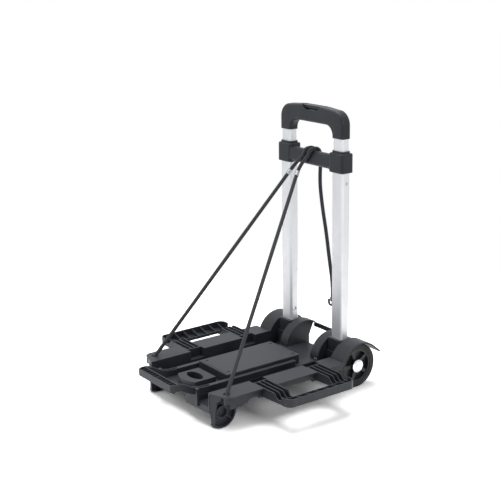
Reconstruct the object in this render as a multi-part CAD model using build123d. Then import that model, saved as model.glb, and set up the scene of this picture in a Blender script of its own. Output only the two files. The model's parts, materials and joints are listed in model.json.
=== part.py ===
"""Folding luggage hand truck: a moulded base with pull-out wings, standing on two wheels and two feet, a
handle that folds down and slides out, and elastic cords from the front corners to the handle's cross block.

Millimetres. +X is the right-hand side, +Y points to the rear, +Z is up. Everything is worked out from a
point on the floor under the middle of the rear axle, and moved at the end to centre the footprint.
"""
from build123d import *
import os
from math import cos, radians, sin, sqrt

# ---------------------------------------------------------------- driving sizes
WALL = 3.0                  # thickness of the moulded shells
THIN = 2.2                  # thickness of the wings' walls
SLIP = 0.5                  # clearance each side of a piece that slides
SEAT = 0.3                  # gap round a seated but separate piece
FIT = 0.05                  # radial clearance of a pin in its bore

TUBE_X, TUBE_Y = 80.0, -8.0               # centre lines of the upright tubes
TUBE_WIDE, TUBE_DEEP, TUBE_ROUND, TUBE_WALL = 32.0, 21.0, 5.5, 1.5
INNER_GAP, INNER_WALL = 0.3, 1.2          # the inner tubes: gap to the outer ones, and wall
HANDLE_TRAVEL = 294.0
BUTTON_TRAVEL = 4.0

DECK_TOP = 68.0             # top of the rails and of the centre panel
LEDGE_TOP = 50.0            # floor beside and under the panel
CHANNEL_TOP = 39.0          # floor of the two long channels the side wings' arms slide across
PANEL_HALF, PANEL_FRONT, PANEL_REAR = 49.0, -265.0, -86.0
RAIL_LIP = 8.0              # how far a rail's top stands out past its outer wall
RAIL_SKIRT_Z = 52.0         # lower edge of that wall
FRONT_SKIRT_Z = 41.0        # the same near the front corner, where it comes down further
BASE_FRONT = -342.0         # Y of the front face of the base
SKIRT_BOTTOM = 24.0
SKIRT_GAP = 23.0            # |X| of the opening in the middle of the front skirt

WHEEL_R, WHEEL_WIDE = 45.5, 20.0
WHEEL_GAP = 3.0             # between the wheel and the guard's inner wall
TYRE_DEEP = 11.5
AXLE_R = 5.0
CAP_R = 13.0
GUARD_GAP = 3.0             # between the tyre and the wheel guard
GUARD_LIP = 11.5            # how far a guard's outer edge stands out past the wheel
GUARD_TURN, GUARD_FLARE = 50.0, 24.0      # degrees above level where it straightens, and how far it runs on
ARCH_TURN = 60.0            # degrees above level where a centre arch ends behind
ARCH_IN = 38.0              # |X| of a centre arch's inner side

PIVOT_Y, PIVOT_R = -16.0, 4.0             # the handle folds about this line
PIVOT_DROP = 9.5            # how far it lies below the inside of the arches, at their highest
SOCKET_RISE, SOCKET_DROP, SOCKET_SOLE, SOCKET_DEEP = 10.5, 22.5, 8.0, 33.0

SLOT_Y = (-233.0, -104.0)   # Y of the middle of the two arms of a side wing
ARM_WIDE = 32.0
WING_OUT = 220.0            # |X| of a side wing's outer wall
BAR_WIDE = 30.0
FRONT_REACH = -397.0        # Y of the front wing's outer wall
FRONT_BOTTOM, FRONT_TOP = 67.5, 81.0
FRONT_ARM_IN, FRONT_ARM_OUT = 51.0, 60.4  # |X| of the front wing's arms

YOKE_BOTTOM, YOKE_HIGH, YOKE_DEEP = 434.0, 37.5, 30.0
GRIP_BOTTOM, GRIP_TOP, GRIP_DEEP = 499.5, 555.0, 22.0
GRIP_ARCH = 522.0           # Z of the underside of the grip's bar

FOOT_Y, FOOT_R = -324.0, 31.0
DISC_WIDE, FOOT_WIDE = 14.0, 23.0         # thickness of the foot's disc, and width of its plate at the top
TAB_HALF, TAB_FRONT, TAB_REAR, TAB_TOP = 30.0, -334.0, -277.0, 62.0
CORD_R = 3.75
CORD_HOLE_Y, EYELET_R = -319.0, 6.4

# ---------------------------------------------------------------- sizes that follow from those
AXLE_Z = WHEEL_R
SIDE_WALL = 2.5                           # thickness of the guards' and arches' upright walls
CHANNEL_IN = TUBE_X - TUBE_WIDE / 2 - 3.0
CHANNEL_OUT = TUBE_X + TUBE_WIDE / 2 + 3.0
GUARD_R = WHEEL_R + GUARD_GAP + WALL      # outer radius of the wheel guards and the centre arches
GUARD_IN = CHANNEL_OUT                    # |X| of the outside of a guard's inner wall
WHEEL_IN = GUARD_IN + SIDE_WALL + WHEEL_GAP
WHEEL_OUT = WHEEL_IN + WHEEL_WIDE
GUARD_EDGE = WHEEL_OUT + GUARD_LIP
RAIL_REAR = WALL / 2 - GUARD_R            # Y where the rails run into the wheel guards
REAR_REACH = GUARD_R * cos(radians(GUARD_TURN)) + GUARD_FLARE * sin(radians(GUARD_TURN))
PIVOT_Z = AXLE_Z + GUARD_R - WALL - PIVOT_DROP
SOCKET_TOP, SOCKET_FLOOR = PIVOT_Z + SOCKET_RISE, PIVOT_Z - SOCKET_DROP
SOCKET_BOTTOM = SOCKET_FLOOR - SOCKET_SOLE
ARM_FLOOR = LEDGE_TOP - SLIP              # the side wings' arms slide on this height
YOKE_TOP = YOKE_BOTTOM + YOKE_HIGH
BRIDGE_FRONT, BRIDGE_DEEP, BRIDGE_ROUND = -22.0, 18.0, 7.0
BRIDGE_BOTTOM, BRIDGE_TOP = YOKE_BOTTOM + 3.0, YOKE_TOP - 5.5
TUBE_BOTTOM, TUBE_TOP = SOCKET_FLOOR + SEAT, YOKE_TOP - 5.0
INNER_WIDE = TUBE_WIDE - 2 * TUBE_WALL - 2 * INNER_GAP
INNER_DEEP = TUBE_DEEP - 2 * TUBE_WALL - 2 * INNER_GAP
INNER_ROUND = TUBE_ROUND - TUBE_WALL - INNER_GAP
LOWER_HOLE_Z = SOCKET_TOP + 24.0
UPPER_HOLE_Z = LOWER_HOLE_Z + HANDLE_TRAVEL
HOLE_R = 3.5
INNER_BOTTOM = LOWER_HOLE_Z - 9.0
FOOT_Z = FOOT_R
FOOT_IN = CHANNEL_OUT + WALL + 2.0
DISC_OUT, FOOT_OUT = FOOT_IN + DISC_WIDE, FOOT_IN + FOOT_WIDE
CORD_HOLE_X = DISC_OUT + 7.0
RAIL_WALL = CORD_HOLE_X + 12.0            # |X| of a rail's outer wall
RAIL_EDGE = RAIL_WALL + RAIL_LIP
CENTRED = Pos(0, -(FRONT_REACH + REAR_REACH) / 2, 0)   # puts the footprint on the origin


# ---------------------------------------------------------------- helpers
def block(x0, x1, y0, y1, z0, z1):
    """A box between two corners."""
    return Pos((x0 + x1) / 2, (y0 + y1) / 2, (z0 + z1) / 2) * Box(abs(x1 - x0), abs(y1 - y0), abs(z1 - z0))


def left_of(shape):
    """The left-hand copy of a right-hand piece."""
    return mirror(shape, about=Plane.YZ)


def both_sides(shape):
    """A shape together with its mirror image across the X = 0 plane."""
    return shape + left_of(shape)


def outline(*points):
    """A flat face inside a closed outline."""
    return make_face(Polyline(*points, close=True))


def along_x(face, x0, x1):
    """A face drawn as (Y, Z), pushed from x0 to x1."""
    return extrude(Plane.YZ.offset(x0) * face, x1 - x0)


def along_y(face, y0, y1):
    """A face drawn as (X, Z), pushed from y0 to y1."""
    return extrude(Plane.XZ.offset(-y1) * face, y1 - y0)


def along_z(face, z0, z1):
    """A face drawn as (X, Y), pushed from z0 to z1."""
    return extrude(Plane.XY.offset(z0) * face, z1 - z0)


def shaft(x0, x1, y, z, radius):
    """A round bar along X."""
    return Pos((x0 + x1) / 2, y, z) * Rot(0, 90, 0) * Cylinder(radius, abs(x1 - x0))


def post(x, y, z0, z1, radius):
    """A round bar along Z."""
    return Pos(x, y, (z0 + z1) / 2) * Cylinder(radius, z1 - z0)


def tube_face(wide, deep, rounding, wall=0.0):
    """The section of a tube of rounded rectangular shape, solid when it has no wall."""
    face = RectangleRounded(wide, deep, rounding)
    if wall:
        face -= RectangleRounded(wide - 2 * wall, deep - 2 * wall, rounding - wall)
    return face


def tube(z0, z1, wide, deep, rounding, wall=0.0):
    """A length of such a tube on the right-hand tube's centre line."""
    return Pos(TUBE_X, TUBE_Y, 0) * along_z(tube_face(wide, deep, rounding, wall), z0, z1)


def front_corner(inset=0.0):
    """The prism in front of the base's slanted right-hand front corner."""
    edge = BASE_FRONT + inset
    return along_z(outline((FOOT_IN, edge), (RAIL_EDGE - 5, edge + 12), (RAIL_EDGE, edge + 22),
                           (RAIL_EDGE + 5, edge + 22), (RAIL_EDGE + 5, edge - 30), (FOOT_IN, edge - 30)),
                   -1, DECK_TOP + 1)


# ---------------------------------------------------------------- base
RIB = 2.0
RIB_DEEP = 9.0
CROSS_RIBS = (BASE_FRONT + 42, PANEL_FRONT + 3, -190.0, -146.0, RAIL_REAR - 16)
PANEL_SCREWS = ((37.0, PANEL_REAR - 8), (37.0, PANEL_FRONT + 13))
SCREW_R, SCREW_HEAD_R = 1.6, 4.0
FLOOR_REAR = 2.0            # Y where the floor between the centre arches ends


def rail_section():
    """Half the section of the base: floor, channel, rail top, lip and outer wall."""
    return outline(
        (-1, LEDGE_TOP), (CHANNEL_IN, LEDGE_TOP), (CHANNEL_IN, CHANNEL_TOP), (CHANNEL_OUT, CHANNEL_TOP),
        (CHANNEL_OUT, DECK_TOP), (RAIL_EDGE, DECK_TOP), (RAIL_EDGE, DECK_TOP - WALL),
        (RAIL_WALL, DECK_TOP - WALL), (RAIL_WALL, RAIL_SKIRT_Z), (RAIL_WALL - WALL, RAIL_SKIRT_Z),
        (RAIL_WALL - WALL, DECK_TOP - WALL), (CHANNEL_OUT + WALL, DECK_TOP - WALL),
        (CHANNEL_OUT + WALL, CHANNEL_TOP - WALL), (CHANNEL_IN - WALL, CHANNEL_TOP - WALL),
        (CHANNEL_IN - WALL, LEDGE_TOP - WALL), (-1, LEDGE_TOP - WALL))


def arm_slot(y_mid):
    """The trough through the right-hand rail that one arm of the side wing slides in."""
    inside, outside = ARM_WIDE / 2 + SLIP, ARM_WIDE / 2 + SLIP + WALL
    trough = block(CHANNEL_OUT, RAIL_WALL, y_mid - outside, y_mid + outside, ARM_FLOOR - WALL, DECK_TOP)
    room = block(CHANNEL_OUT - 1, RAIL_EDGE + 1, y_mid - inside, y_mid + inside, ARM_FLOOR, DECK_TOP + 1)
    return trough, room


def guard_band(x0, x1, y_end=None):
    """An arched cover of constant thickness about the axle. Without y_end it is a wheel guard, whose rear end
    straightens and runs on away from the tyre; with it, the arch stops at that Y."""
    low = 172.0
    if y_end is None:
        turn, run = GUARD_TURN, GUARD_FLARE
    else:
        turn, run = ARCH_TURN, 0.5

    def at(radius, degree, further=0.0):
        a = radians(degree)
        return (radius * cos(a) + further * sin(a), AXLE_Z + radius * sin(a) - further * cos(a))

    outer, inner = GUARD_R, GUARD_R - WALL
    middle = (low + turn) / 2
    edges = [
        ThreePointArc(at(outer, low), at(outer, middle), at(outer, turn)),
        Line(at(outer, turn), at(outer, turn, run)),
        Line(at(outer, turn, run), at(inner, turn, run)),
        Line(at(inner, turn, run), at(inner, turn)),
        ThreePointArc(at(inner, turn), at(inner, middle), at(inner, low)),
        Line(at(inner, low), at(outer, low)),
    ]
    return along_x(make_face(edges), x0, x1)


def guard_wall(x0, x1, y_rear, z_low, slant=0.0):
    """An upright wall that fills the arch of a guard, cut off below and behind."""
    wall = shaft(x0, x1, 0, AXLE_Z, GUARD_R - WALL / 2)
    reach = GUARD_R + 5
    wall -= block(x0 - 1, x1 + 1, -reach, reach, -reach, z_low)
    behind = outline((y_rear, AXLE_Z + reach), (y_rear - slant, z_low - 1), (reach + 5, z_low - 1),
                     (reach + 5, AXLE_Z + reach))
    return wall - along_x(behind, x0 - 1, x1 + 1)


def wheel_guard():
    """The right-hand wheel guard with its inner wall, which carries the axle and the pivot pin's outer end."""
    guard = guard_band(GUARD_IN, GUARD_EDGE)
    guard += guard_wall(GUARD_IN, GUARD_IN + SIDE_WALL, 36, AXLE_Z - 14)
    guard += shaft(GUARD_IN, WHEEL_IN - 0.6, 0, AXLE_Z, AXLE_R + 3)
    guard -= shaft(GUARD_IN - 1, WHEEL_IN, 0, AXLE_Z, AXLE_R + FIT)
    return guard - shaft(GUARD_IN - 1, GUARD_IN + SIDE_WALL + 1, PIVOT_Y, PIVOT_Z, PIVOT_R + FIT)


def centre_arch():
    """The right-hand arch beside the recess, with the wall that carries the inner end of the pivot pin."""
    arch = guard_band(ARCH_IN, CHANNEL_IN, y_end=True)
    arch += guard_wall(CHANNEL_IN - SIDE_WALL, CHANNEL_IN, 26, AXLE_Z - 14)
    arch += guard_wall(ARCH_IN, ARCH_IN + SIDE_WALL, 26, LEDGE_TOP - WALL, slant=25)
    return arch - shaft(CHANNEL_IN - SIDE_WALL - 1, CHANNEL_IN + 1, PIVOT_Y, PIVOT_Z, PIVOT_R + FIT)


def front_skirt():
    """The right half of the wall under the front edge."""
    face = outline((-1, LEDGE_TOP - WALL / 2), (-1, LEDGE_TOP - 8), (SKIRT_GAP - 4, LEDGE_TOP - 8),
                   (SKIRT_GAP, SKIRT_BOTTOM), (CHANNEL_OUT + WALL, SKIRT_BOTTOM + 3),
                   (CHANNEL_OUT + WALL, DECK_TOP - WALL / 2), (CHANNEL_OUT, DECK_TOP - WALL / 2),
                   (CHANNEL_OUT, CHANNEL_TOP - WALL / 2), (CHANNEL_IN - WALL, CHANNEL_TOP - WALL / 2),
                   (CHANNEL_IN - WALL, LEDGE_TOP - WALL / 2))
    return along_y(face, BASE_FRONT, BASE_FRONT + WALL)


def corner_skirt():
    """The deeper stretch of the rail's outer wall behind the front corner, curving up to the rest of it."""
    y_front, y_bend, y_rear, top = BASE_FRONT + 23, BASE_FRONT + 42, BASE_FRONT + 76, RAIL_SKIRT_Z + 4
    face = make_face([
        Line((y_front, top), (y_front, FRONT_SKIRT_Z)),
        Line((y_front, FRONT_SKIRT_Z), (y_bend, FRONT_SKIRT_Z)),
        Spline((y_bend, FRONT_SKIRT_Z), (y_rear, RAIL_SKIRT_Z), tangents=((1, 0), (1, 0))),
        Line((y_rear, RAIL_SKIRT_Z), (y_rear, top)),
        Line((y_rear, top), (y_front, top))])
    return along_x(face, RAIL_WALL - WALL, RAIL_WALL)


def base_frame():
    """The base in one moulding, open below: floor, channels, rails, front skirt, wheel guards and arches."""
    half = along_y(rail_section(), BASE_FRONT, RAIL_REAR)
    # the channel runs on to a wall in front of the socket, which holds the handle upright
    stop = TUBE_Y - SOCKET_DEEP / 2 - SEAT
    half += block(CHANNEL_IN, CHANNEL_OUT, RAIL_REAR - 1, stop, CHANNEL_TOP - WALL, CHANNEL_TOP)
    half += block(CHANNEL_IN, CHANNEL_OUT, stop - WALL, stop, CHANNEL_TOP - WALL, SOCKET_BOTTOM + 14)
    for y_mid in SLOT_Y:
        trough, clear = arm_slot(y_mid)
        half = half + trough - clear
    half += front_skirt()
    # a block on the front wall guides each arm of the front wing
    half += block(CHANNEL_IN + 0.5, CHANNEL_IN + 7.5, BASE_FRONT - 5, BASE_FRONT + 1,
                  SKIRT_BOTTOM + 8, FRONT_BOTTOM - 2)
    half += corner_skirt()
    for y_rib in CROSS_RIBS:
        y0, y1 = y_rib - RIB / 2, y_rib + RIB / 2
        half += block(-1, CHANNEL_IN - WALL, y0, y1, LEDGE_TOP - RIB_DEEP, LEDGE_TOP - WALL / 2)
        half += block(CHANNEL_OUT + WALL / 2, RAIL_WALL - WALL / 2, y0, y1,
                      RAIL_SKIRT_Z + 2, DECK_TOP - WALL / 2)
    # the floor runs on between the arches, with three shallow steps across it
    half += block(-1, ARCH_IN + 1, RAIL_REAR - 1, FLOOR_REAR, LEDGE_TOP - WALL, LEDGE_TOP)
    for step in range(3):
        y_step = RAIL_REAR - 24 + 9 * step
        half -= block(-1, ARCH_IN, y_step, y_step + RIB, LEDGE_TOP - 1, LEDGE_TOP + 1)
    half += wheel_guard() + centre_arch()
    sill = outline((RAIL_REAR - 1, LEDGE_TOP - WALL), (RAIL_REAR - 1, LEDGE_TOP), (RAIL_REAR + 3, LEDGE_TOP),
                   (RAIL_REAR + 5, LEDGE_TOP - WALL))
    half += along_x(sill, ARCH_IN, CHANNEL_IN)
    half += block(CHANNEL_OUT, CHANNEL_OUT + SIDE_WALL, RAIL_REAR - 2, RAIL_REAR + 8,
                  CHANNEL_TOP - WALL, DECK_TOP)
    # the cross bar that joins the two arches behind
    y_bar = GUARD_R * cos(radians(ARCH_TURN)) + 0.25
    z_bar = AXLE_Z + GUARD_R * sin(radians(ARCH_TURN)) - 1.6
    half += block(-1, ARCH_IN + 1, y_bar - 3, y_bar, z_bar - 9, z_bar)
    half -= front_corner()
    half -= post(CORD_HOLE_X, CORD_HOLE_Y, DECK_TOP - WALL - 1, DECK_TOP + 1, EYELET_R)
    for x_boss, y_boss in PANEL_SCREWS:
        half += post(x_boss, y_boss, LEDGE_TOP - 10, LEDGE_TOP - WALL / 2, SCREW_HEAD_R)
        half -= post(x_boss, y_boss, LEDGE_TOP - 11, LEDGE_TOP + 1, SCREW_R + FIT)
    half -= block(-5, 0, BASE_FRONT - 5, 60, 0, 120)
    return both_sides(half)


def centre_panel():
    """The smooth cover in the middle of the deck, hollow below, on four screws."""
    length = PANEL_REAR - PANEL_FRONT
    middle = Pos(0, (PANEL_FRONT + PANEL_REAR) / 2)
    shell = along_z(middle * RectangleRounded(2 * PANEL_HALF, length, 4), LEDGE_TOP, DECK_TOP)
    shell = fillet(shell.faces().sort_by(Axis.Z)[-1].edges(), 1.5)
    shell -= along_z(middle * RectangleRounded(2 * PANEL_HALF - 2 * WALL, length - 2 * WALL, 2),
                     LEDGE_TOP - 1, DECK_TOP - WALL)
    groove_y = PANEL_FRONT + 4
    shell -= block(5 - PANEL_HALF, PANEL_HALF - 5, groove_y, groove_y + 1.2, DECK_TOP - 0.6, DECK_TOP + 1)
    for x_screw, y_screw in PANEL_SCREWS:
        for x in (-x_screw, x_screw):
            shell += post(x, y_screw, LEDGE_TOP, DECK_TOP - WALL / 2, SCREW_HEAD_R + 1.5)
            shell -= post(x, y_screw, DECK_TOP - 1.5, DECK_TOP + 1, SCREW_HEAD_R + FIT)
            shell -= post(x, y_screw, LEDGE_TOP - 1, DECK_TOP, SCREW_R + FIT)
    return shell


def panel_screws():
    """The four cross-head screws that hold the panel down."""
    top = DECK_TOP - 0.3
    one = post(0, 0, LEDGE_TOP - RIB_DEEP, top - 0.5, SCREW_R) + post(0, 0, DECK_TOP - 1.5, top, SCREW_HEAD_R)
    one -= block(-2.6, 2.6, -0.5, 0.5, top - 0.7, top + 1)
    one -= block(-0.5, 0.5, -2.6, 2.6, top - 0.7, top + 1)
    return [Pos(sign * x, y, 0) * one for x, y in PANEL_SCREWS for sign in (-1, 1)]


def front_tab():
    """The tongue with an oval finger hole, standing on the floor in front of the panel."""
    shoulder = TAB_FRONT + 9
    plan = outline((-TAB_HALF, TAB_REAR), (-TAB_HALF, shoulder), (TAB_HALF, shoulder), (TAB_HALF, TAB_REAR))
    nose = make_face([ThreePointArc((-TAB_HALF, shoulder), (0, TAB_FRONT), (TAB_HALF, shoulder)),
                      Line((TAB_HALF, shoulder), (-TAB_HALF, shoulder))])
    tab = along_z(plan + nose, LEDGE_TOP - 2, TAB_TOP)
    hole = Pos(0, (TAB_FRONT + TAB_REAR) / 2) * Ellipse(23, 12)
    ring = Pos(0, (TAB_FRONT + TAB_REAR) / 2) * Ellipse(23 + WALL, 12 + WALL)
    hollow = outline((-TAB_HALF + WALL, TAB_REAR - WALL), (-TAB_HALF + WALL, TAB_FRONT + 11),
                     (TAB_HALF - WALL, TAB_FRONT + 11), (TAB_HALF - WALL, TAB_REAR - WALL)) - ring
    tab -= along_z(hollow, LEDGE_TOP - 3, TAB_TOP - WALL)
    tab -= along_z(hole, LEDGE_TOP - 3, TAB_TOP + 1)
    return tab - block(-TAB_HALF - 1, TAB_HALF + 1, BASE_FRONT, 0, 0, LEDGE_TOP)


FOOT_WEB = (FOOT_IN + 4.0, FOOT_IN + 7.0)
BOSS_R = 12.5


def foot():
    """The right-hand front foot: a D-shaped disc behind a front plate that narrows towards the floor."""
    edge, top = BASE_FRONT, DECK_TOP - WALL - SEAT
    disc = shaft(FOOT_IN, DISC_OUT, FOOT_Y, FOOT_Z, FOOT_R)
    for x0, x1 in ((FOOT_IN - 1, FOOT_WEB[0]), (FOOT_WEB[1], DISC_OUT + 1)):
        disc -= shaft(x0, x1, FOOT_Y, FOOT_Z, FOOT_R - WALL)
    disc += shaft(FOOT_WEB[0], DISC_OUT - 1, FOOT_Y, FOOT_Z, BOSS_R) - \
        shaft(FOOT_WEB[1], DISC_OUT, FOOT_Y, FOOT_Z, BOSS_R - THIN)
    reach = (BOSS_R + FOOT_R) / 2
    disc += Pos((FOOT_WEB[0] + DISC_OUT - 2) / 2, FOOT_Y, FOOT_Z) * Rot(-40, 0, 0) * Pos(0, reach, 0) * \
        Box(DISC_OUT - 2 - FOOT_WEB[0], FOOT_R - BOSS_R - 1, WALL)
    disc += block(FOOT_WEB[0], FOOT_WEB[1], edge, edge + 32, FOOT_Z, top)
    disc += block(FOOT_IN, FOOT_OUT, edge, edge + 14, 2 * FOOT_R - 1.2, top)
    disc -= front_corner() + block(FOOT_IN - 1, FOOT_OUT + 1, edge - 40, edge, -1, DECK_TOP)
    plate = along_y(outline((FOOT_IN, top), (FOOT_IN, 24), (FOOT_IN + 3, 2.5), (FOOT_IN + 9, 2.5),
                            (DISC_OUT - 2, 40), (DISC_OUT, 54), (FOOT_OUT, 60), (FOOT_OUT, top)), edge, edge + 20)
    disc += (plate - front_corner()) & front_corner(WALL)
    # the plate's upper edge stops short of the rail's skirt
    return disc - block(FOOT_IN - 5, CHANNEL_OUT + WALL + SEAT, edge - 1, edge + WALL + SEAT,
                        SKIRT_BOTTOM, DECK_TOP)


# ---------------------------------------------------------------- wheels
HUB_R = 10.0
SPOKES = 5


def rolling(x0, x1, outer, inner):
    """A ring about the axle."""
    return shaft(x0, x1, 0, AXLE_Z, outer) - shaft(x0 - 1, x1 + 1, 0, AXLE_Z, inner)


def wheel_rim():
    """The right-hand wheel's moulded rim: hub, five spokes over a recessed disc, and the seat of the tyre."""
    middle = (WHEEL_IN + WHEEL_OUT) / 2
    seat = WHEEL_R - TYRE_DEEP
    rim = rolling(WHEEL_IN + 1, WHEEL_OUT - 1, seat, seat - 3.5)
    rim += rolling(WHEEL_IN, WHEEL_OUT, HUB_R, AXLE_R + FIT)
    rim += rolling(middle - 2, middle, seat - 2, HUB_R - 2)
    for number in range(SPOKES):
        spoke = Pos((middle - 1 + WHEEL_OUT - 2.5) / 2, 0, AXLE_Z) * Rot(18 + number * 360 / SPOKES, 0, 0) * \
            Pos(0, 0, (HUB_R + seat - 3) / 2) * Box(WHEEL_OUT - 1.5 - middle, 7, seat - HUB_R - 1)
        rim += spoke
    return rim


def tyre():
    """The right-hand wheel's tyre, with chamfered shoulders."""
    ring = shaft(WHEEL_IN, WHEEL_OUT, 0, AXLE_Z, WHEEL_R)
    ring = chamfer(ring.edges().filter_by(GeomType.CIRCLE), 1.5)
    return ring - shaft(WHEEL_IN - 1, WHEEL_OUT + 1, 0, AXLE_Z, WHEEL_R - TYRE_DEEP + FIT)


AXLE_END = WHEEL_OUT + 2.5
CAP_HIGH, CAP_RIM = 3.6, 1.2


def stub_axle():
    """The right-hand stub axle, with its flange inside the guard's inner wall."""
    return shaft(GUARD_IN, AXLE_END, 0, AXLE_Z, AXLE_R)


def wheel_washer():
    """The washer between the wheel's hub and the cap."""
    return rolling(WHEEL_OUT + 0.2, WHEEL_OUT + 1.0, AXLE_R + 4, AXLE_R + FIT)


def wheel_cap():
    """The domed chrome cap pressed on the axle's end."""
    base = WHEEL_OUT + 1.1
    bulge = (CAP_R ** 2 + (CAP_HIGH - CAP_RIM) ** 2) / (2 * (CAP_HIGH - CAP_RIM))
    dome = Pos(0, 0, CAP_HIGH - bulge) * Sphere(bulge) & Pos(0, 0, CAP_HIGH / 2) * Cylinder(CAP_R, CAP_HIGH)
    dome = Pos(base, 0, AXLE_Z) * Rot(0, 90, 0) * dome
    dome -= shaft(base + CAP_HIGH - 1.6, base + CAP_HIGH + 1, 0, AXLE_Z, AXLE_R + 3.5) - \
        shaft(base, base + CAP_HIGH + 1, 0, AXLE_Z, AXLE_R - 0.5)
    return dome - shaft(base - 1, AXLE_END + FIT, 0, AXLE_Z, AXLE_R + FIT)


def pivot_pin():
    """The right-hand pivot pin, headed inside the arch."""
    head = CHANNEL_IN - SIDE_WALL
    return shaft(head - 2.5, head, PIVOT_Y, PIVOT_Z, PIVOT_R + 2.0) + \
        shaft(head - 1, GUARD_IN + SIDE_WALL, PIVOT_Y, PIVOT_Z, PIVOT_R)


# ---------------------------------------------------------------- handle frame
def socket():
    """The right-hand socket: a block that turns on the pivot pin and holds the foot of the outer tube."""
    y0, y1 = TUBE_Y - SOCKET_DEEP / 2, TUBE_Y + SOCKET_DEEP / 2
    x0, x1 = CHANNEL_IN + SLIP, CHANNEL_OUT - SLIP
    body = block(x0, x1, y0, y1, SOCKET_BOTTOM, SOCKET_TOP)
    body = fillet(body.edges().filter_by(Axis.Z), 3.0)
    body -= tube(SOCKET_FLOOR, SOCKET_TOP + 1, TUBE_WIDE + 2 * FIT, TUBE_DEEP + 2 * FIT, TUBE_ROUND)
    return body - shaft(x0 - 1, x1 + 1, PIVOT_Y, PIVOT_Z, PIVOT_R + 2 * FIT)


def outer_tube():
    """The right-hand outer tube: cut away round the pivot pin, lower lock hole inside and upper one outside."""
    body = tube(TUBE_BOTTOM, TUBE_TOP, TUBE_WIDE, TUBE_DEEP, TUBE_ROUND, TUBE_WALL)
    body -= shaft(TUBE_X - TUBE_WIDE, TUBE_X + TUBE_WIDE, PIVOT_Y, PIVOT_Z, PIVOT_R + 2 * FIT)
    body -= shaft(TUBE_X - TUBE_WIDE, TUBE_X, TUBE_Y, LOWER_HOLE_Z, HOLE_R)
    return body - shaft(TUBE_X, TUBE_X + TUBE_WIDE, TUBE_Y, UPPER_HOLE_Z, HOLE_R)


def cross_block():
    """The moulded block that joins the tops of the outer tubes."""
    half = along_z(Pos(TUBE_X, TUBE_Y) * RectangleRounded(41, YOKE_DEEP, 6), YOKE_BOTTOM, YOKE_TOP)
    half = fillet(half.faces().sort_by(Axis.Z)[-1].edges(), 3)
    half += tube(YOKE_TOP - 4, YOKE_TOP + 4, INNER_WIDE + 5, INNER_DEEP + 5, INNER_ROUND + 2.5)
    bar = Pos(BRIDGE_FRONT + BRIDGE_DEEP / 2, (BRIDGE_BOTTOM + BRIDGE_TOP) / 2) * RectangleRounded(
        BRIDGE_DEEP, BRIDGE_TOP - BRIDGE_BOTTOM, BRIDGE_ROUND)
    half += along_x(bar, -1, TUBE_X - 18)
    swell = outline((TUBE_X - 28, BRIDGE_BOTTOM + 8), (TUBE_X - 28, BRIDGE_TOP - 8), (TUBE_X - 19, YOKE_TOP - 4),
                    (TUBE_X - 18, YOKE_TOP - 4), (TUBE_X - 18, YOKE_BOTTOM + 1), (TUBE_X - 19, YOKE_BOTTOM + 1))
    half += along_y(swell, BRIDGE_FRONT + 1.5, BRIDGE_FRONT + BRIDGE_DEEP - 1.5)
    half -= tube(YOKE_BOTTOM - 1, TUBE_TOP + SEAT, TUBE_WIDE + 2 * FIT, TUBE_DEEP + 2 * FIT, TUBE_ROUND)
    half -= tube(YOKE_BOTTOM, YOKE_TOP + 10, INNER_WIDE + 2 * SEAT, INNER_DEEP + 2 * SEAT, INNER_ROUND + SEAT)
    half -= block(-5, 0, -60, 60, YOKE_BOTTOM - 5, YOKE_TOP + 10)
    return both_sides(half)


# ---------------------------------------------------------------- handle
def inner_tube():
    """The right-hand inner tube, from the guide plug up into the grip."""
    body = tube(INNER_BOTTOM, GRIP_ARCH + 4, INNER_WIDE, INNER_DEEP, INNER_ROUND, INNER_WALL)
    return body - shaft(TUBE_X - TUBE_WIDE, TUBE_X + TUBE_WIDE, TUBE_Y, LOWER_HOLE_Z, HOLE_R)


PLUG_HIGH = 24.0
PIN_R = 2.8


def guide_plug():
    """The plug in the foot of the inner tube, which the lock pins run in."""
    gap = 2 * INNER_WALL + 2 * FIT
    body = tube(INNER_BOTTOM, INNER_BOTTOM + PLUG_HIGH, INNER_WIDE - gap, INNER_DEEP - gap,
                INNER_ROUND - INNER_WALL)
    body += tube(INNER_BOTTOM - 4, INNER_BOTTOM, INNER_WIDE, INNER_DEEP, INNER_ROUND)
    body -= shaft(TUBE_X - TUBE_WIDE, TUBE_X + TUBE_WIDE, TUBE_Y, LOWER_HOLE_Z, PIN_R + FIT)
    return body - post(TUBE_X, TUBE_Y, LOWER_HOLE_Z, INNER_BOTTOM + PLUG_HIGH + 1, ROD_R + 0.4)


ROD_R = 2.0


def lock_pins():
    """The two lock pins of the right-hand plug, drawn in just clear of the outer tube."""
    tip = INNER_WIDE / 2
    return [shaft(TUBE_X + side * 3, TUBE_X + side * tip, TUBE_Y, LOWER_HOLE_Z, PIN_R) for side in (-1, 1)]


CAVITY_FLOOR, CAVITY_TOP, CAVITY_HALF = GRIP_ARCH + 8, GRIP_ARCH + 23, 5.0
BUTTON_HALF = 31.0


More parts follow.
